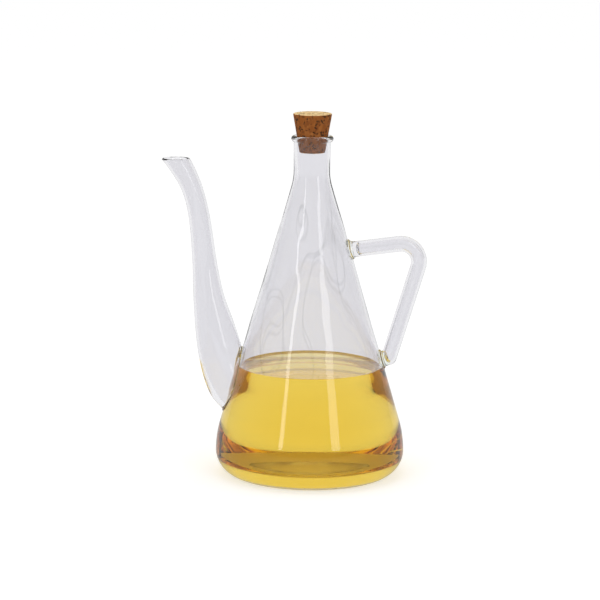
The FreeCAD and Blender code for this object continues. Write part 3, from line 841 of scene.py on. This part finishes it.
def makeCorkMaterial(name, colors, poreShade=None):
    material, nodes, links, shader, _ = newMaterial(name)
    color, cloud = corkColors(nodes, links, colors)
    # pits get near-black patches: partly pore colour, partly painted shade
    if poreShade:
        patches = stretchRange(nodes, links, cloud.outputs["Fac"], 0.2, 0.8)
        color = mixColors(nodes, links, patches, *poreShade)
    links.new(color, shader.inputs["Base Color"])
    shader.inputs["Specular IOR Level"].default_value = 0.2
    dullness = stretchRange(nodes, links, cloud.outputs["Fac"], 0.3, 0.7, 0.74, 0.92)
    links.new(dullness, shader.inputs["Roughness"])
    rough = objectNoise(nodes, links, 1500, 4.0)
    bump = nodes.new("ShaderNodeBump")
    bump.inputs["Strength"].default_value = 0.6
    bump.inputs["Distance"].default_value = 0.15 * mm
    links.new(rough.outputs["Fac"], bump.inputs["Height"])
    links.new(bump.outputs["Normal"], shader.inputs["Normal"])
    return material


corkSideMaterial = makeCorkMaterial("corkSide", cork["sideColors"])
corkTopLitMaterial = makeCorkMaterial("corkTopLit", cork["topLitColors"])
corkPoreShadeMaterial = makeCorkMaterial("corkPoreShade", cork["sideColors"], cork["poreAndShadeColors"])


def corkProfile():
    low, high, edge = cork["low"], cork["high"], cork["edge"]
    points = linePoints((0, low), (corkRadius(low) - edge, low), 16)
    points += arcPoints((corkRadius(low + edge) - edge, low + edge), edge, -90, -cork["lean"], 6)
    points += linePoints((corkRadius(low + edge), low + edge), (corkRadius(high - edge), high - edge), 60)
    points += arcPoints((corkRadius(high - edge) - edge, high - edge), edge, -cork["lean"], 90, 6)
    points += linePoints((corkRadius(high) - edge - 0.1, high), (0, high), 24)
    return tidyLine(points)


def pitTree():
    # scatters small hollows over a surface: hundreds of squashed blobs that are then cut away
    tree = bpy.data.node_groups.new("corkPits", "GeometryNodeTree")
    tree.interface.new_socket("Geometry", in_out="INPUT", socket_type="NodeSocketGeometry")
    sockets = {}
    for label, kind, value in (
        ("Density", "NodeSocketFloat", 100000.0),
        ("Pit Size", "NodeSocketFloat", 0.0006),
        ("Seed", "NodeSocketInt", 1),
        ("Material", "NodeSocketMaterial", None),
    ):
        socket = tree.interface.new_socket(label, in_out="INPUT", socket_type=kind)
        if value is not None:
            socket.default_value = value
        sockets[label] = socket.identifier
    tree.interface.new_socket("Geometry", in_out="OUTPUT", socket_type="NodeSocketGeometry")
    nodes, links = tree.nodes, tree.links
    start, end = nodes.new("NodeGroupInput"), nodes.new("NodeGroupOutput")
    scatter = nodes.new("GeometryNodeDistributePointsOnFaces")
    scatter.distribute_method = "POISSON"
    blob = nodes.new("GeometryNodeMeshIcoSphere")
    blob.inputs["Subdivisions"].default_value = 2
    place = nodes.new("GeometryNodeInstanceOnPoints")
    spread = nodes.new("FunctionNodeRandomValue")
    spread.data_type = "FLOAT_VECTOR"
    spread.inputs["Min"].default_value = (0.35, 0.35, 0.25)
    spread.inputs["Max"].default_value = (1.5, 1.1, 0.9)
    sized = nodes.new("ShaderNodeVectorMath")
    sized.operation = "SCALE"
    realize = nodes.new("GeometryNodeRealizeInstances")
    paint = nodes.new("GeometryNodeSetMaterial")
    links.new(start.outputs["Geometry"], scatter.inputs["Mesh"])
    links.new(start.outputs["Density"], scatter.inputs["Density Max"])
    links.new(start.outputs["Pit Size"], scatter.inputs["Distance Min"])
    links.new(start.outputs["Seed"], scatter.inputs["Seed"])
    links.new(start.outputs["Seed"], spread.inputs["Seed"])
    links.new(spread.outputs["Value"], sized.inputs[0])
    links.new(start.outputs["Pit Size"], sized.inputs["Scale"])
    links.new(scatter.outputs["Points"], place.inputs["Points"])
    links.new(scatter.outputs["Rotation"], place.inputs["Rotation"])
    links.new(blob.outputs["Mesh"], place.inputs["Instance"])
    links.new(sized.outputs["Vector"], place.inputs["Scale"])
    links.new(place.outputs["Instances"], realize.inputs["Geometry"])
    links.new(realize.outputs["Geometry"], paint.inputs["Geometry"])
    links.new(start.outputs["Material"], paint.inputs["Material"])
    links.new(paint.outputs["Geometry"], end.inputs["Geometry"])
    return tree, sockets


def makeCork():
    made = spin("cork", corkProfile(), 180)
    made.data.materials.append(corkSideMaterial)
    made.data.materials.append(corkTopLitMaterial)
    # faces turned up or down get the lighter top colours, which are partly painted light
    for face in made.data.polygons:
        face.material_index = 1 if abs(face.normal.z) > 0.75 else 0
    tree, sockets = pitTree()
    pits = newObject("corkPits", made.data.copy())
    modifier = pits.modifiers.new("pits", "NODES")
    modifier.node_group = tree
    area = 2 * math.pi * cork["seatRadius"] * (cork["high"] - cork["low"]) * mm * mm
    modifier[sockets["Density"]] = cork["pits"] / area
    modifier[sockets["Pit Size"]] = cork["pitSize"] * mm
    modifier[sockets["Seed"]] = cork["seed"]
    modifier[sockets["Material"]] = corkPoreShadeMaterial
    bpy.context.view_layer.update()
    applyModifiers(pits)
    combine(made, [pits], "DIFFERENCE")
    smooth(made, 38)
    return made


corkPiece = makeCork()
print("cork made:", len(corkPiece.data.polygons), "faces")


# What each piece stands for.

pieces = (
    (glass, "glass_bottle", "glass"),
    (oilPiece, "oil", "oil"),
    (corkPiece, "cork_stopper", "cork"),
)
for piece, node, slot in pieces:
    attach(piece, "root")
    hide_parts(node)


# Floor, light and camera.

studio = {
    "floorColor": (0.80, 0.80, 0.80),
    "floorGlow": 0.38,
    "ambient": 0.77,
    "mirrorLight": 0.42,
    "floorThrough": 1.0,
    "roomLight": 0.42,
    "wallEdge": (0.3, 0.75),
    "strips": (
        # name, azimuth from the camera's side, distance, height, width, tall, watts
        ("stripLeft", -36.0, 1.25, 0.62, 0.12, 0.95, 1.65),
        ("stripRight", 32.0, 1.25, 0.62, 0.26, 0.95, 2.4),
    ),
    "top": (0.9, 1.3, 1.2),  # size, height, watts
}


def makeFloor():
    size = 9.0
    floor = closedMesh(
        "floor",
        [(-size, -size, -0.0002), (size, -size, -0.0002), (size, size, -0.0002), (-size, size, -0.0002)],
        [(0, 1, 2, 3)],
    )
    material, nodes, links, shader, output = newMaterial("paleTable")
    shader.inputs["Base Color"].default_value = (*studio["floorColor"], 1)
    shader.inputs["Roughness"].default_value = 0.9
    shader.inputs["Specular IOR Level"].default_value = 0.0
    path = nodes.new("ShaderNodeLightPath")
    glow = nodes.new("ShaderNodeMath")
    glow.operation = "MULTIPLY"
    glow.inputs[1].default_value = studio["floorGlow"]
    links.new(path.outputs["Is Camera Ray"], glow.inputs[0])
    shader.inputs["Emission Color"].default_value = (1, 1, 1, 1)
    links.new(glow.outputs["Value"], shader.inputs["Emission Strength"])
    # seen through glass and oil the table is evenly bright, also under the bottle
    through = nodes.new("ShaderNodeEmission")
    through.inputs["Strength"].default_value = studio["floorThrough"]
    mix = nodes.new("ShaderNodeMixShader")
    links.new(path.outputs["Is Transmission Ray"], mix.inputs["Fac"])
    links.new(shader.outputs["BSDF"], mix.inputs[1])
    links.new(through.outputs["Emission"], mix.inputs[2])
    links.new(mix.outputs["Shader"], output.inputs["Surface"])
    floor.data.materials.append(material)
    return floor


def makeWorld():
    world = bpy.data.worlds.new("studio")
    bpy.context.scene.world = world
    world.use_nodes = True
    nodes, links = world.node_tree.nodes, world.node_tree.links
    back = nodes["Background"]
    path = nodes.new("ShaderNodeLightPath")
    seen = nodes.new("ShaderNodeMath")
    seen.operation = "MAXIMUM"
    links.new(path.outputs["Is Camera Ray"], seen.inputs[0])
    links.new(path.outputs["Is Transmission Ray"], seen.inputs[1])
    mirror = nodes.new("ShaderNodeMix")
    links.new(path.outputs["Is Glossy Ray"], mirror.inputs["Factor"])
    mirror.inputs["A"].default_value = studio["ambient"]
    mirror.inputs["B"].default_value = studio["mirrorLight"]
    strength = nodes.new("ShaderNodeMix")
    links.new(seen.outputs["Value"], strength.inputs["Factor"])
    links.new(mirror.outputs["Result"], strength.inputs["A"])
    # seen through glass, the wall behind and the light above are bright and the room to the sides is
    # darker: this draws the edges
    toward = nodes.new("ShaderNodeTexCoord")
    parts = nodes.new("ShaderNodeSeparateXYZ")
    links.new(toward.outputs["Generated"], parts.inputs["Vector"])
    higher = nodes.new("ShaderNodeMath")
    higher.operation = "MAXIMUM"
    links.new(parts.outputs["Y"], higher.inputs[0])
    links.new(parts.outputs["Z"], higher.inputs[1])
    wall = stretchRange(nodes, links, higher.outputs["Value"], *studio["wallEdge"], studio["roomLight"], 1.0)
    shown = nodes.new("ShaderNodeMath")
    shown.operation = "MAXIMUM"
    links.new(wall, shown.inputs[0])
    links.new(path.outputs["Is Camera Ray"], shown.inputs[1])
    links.new(shown.outputs["Value"], strength.inputs["B"])
    links.new(strength.outputs["Result"], back.inputs["Strength"])
    back.inputs["Color"].default_value = (1, 1, 1, 1)


def addLamp(name, place, target, width, tall, watts):
    lamp = bpy.data.lights.new(name, "AREA")
    lamp.shape = "RECTANGLE"
    lamp.size, lamp.size_y, lamp.energy = width, tall, watts
    made = newObject(name, lamp)
    made.location = place
    made.rotation_euler = (Vector(target) - Vector(place)).to_track_quat("-Z", "Y").to_euler()
    made.visible_camera = False
    made.visible_transmission = False
    return made


makeFloor()
makeWorld()
for name, azimuth, distance, height, width, tall, watts in studio["strips"]:
    angle = degrees(azimuth)
    place = (math.sin(angle) * distance, -math.cos(angle) * distance, height)
    addLamp(name, place, (0, 0, 0.1), width, tall, watts)
topSize, topHeight, topWatts = studio["top"]
addLamp("topLight", (-0.15, -0.1, topHeight), (0, 0, 0), topSize, topSize, topWatts)

shot = {"place": (-6.06, -1600.0, 394.75), "pitch": 10.5125, "roll": 0.4873, "lens": 175.8, "sensor": 36.0}
lens = bpy.data.cameras.new("camera")
lens.lens, lens.sensor_width = shot["lens"], shot["sensor"]
camera = newObject("camera", lens)
pitched, rolled = degrees(90 - shot["pitch"]), degrees(shot["roll"])
turned = Matrix.Rotation(pitched, 4, "X") @ Matrix.Rotation(rolled, 4, "Z")
camera.matrix_world = Matrix.Translation(Vector(shot["place"]) * mm) @ turned
bpy.context.scene.camera = camera
bpy.context.scene.view_settings.view_transform = "Standard"
paths = bpy.context.scene.cycles  # glass, oil and glass again: light crosses many surfaces before it is out
paths.max_bounces, paths.transmission_bounces, paths.glossy_bounces = 32, 32, 16
paths.transparent_max_bounces = 32

print("floor, lamps and camera set")
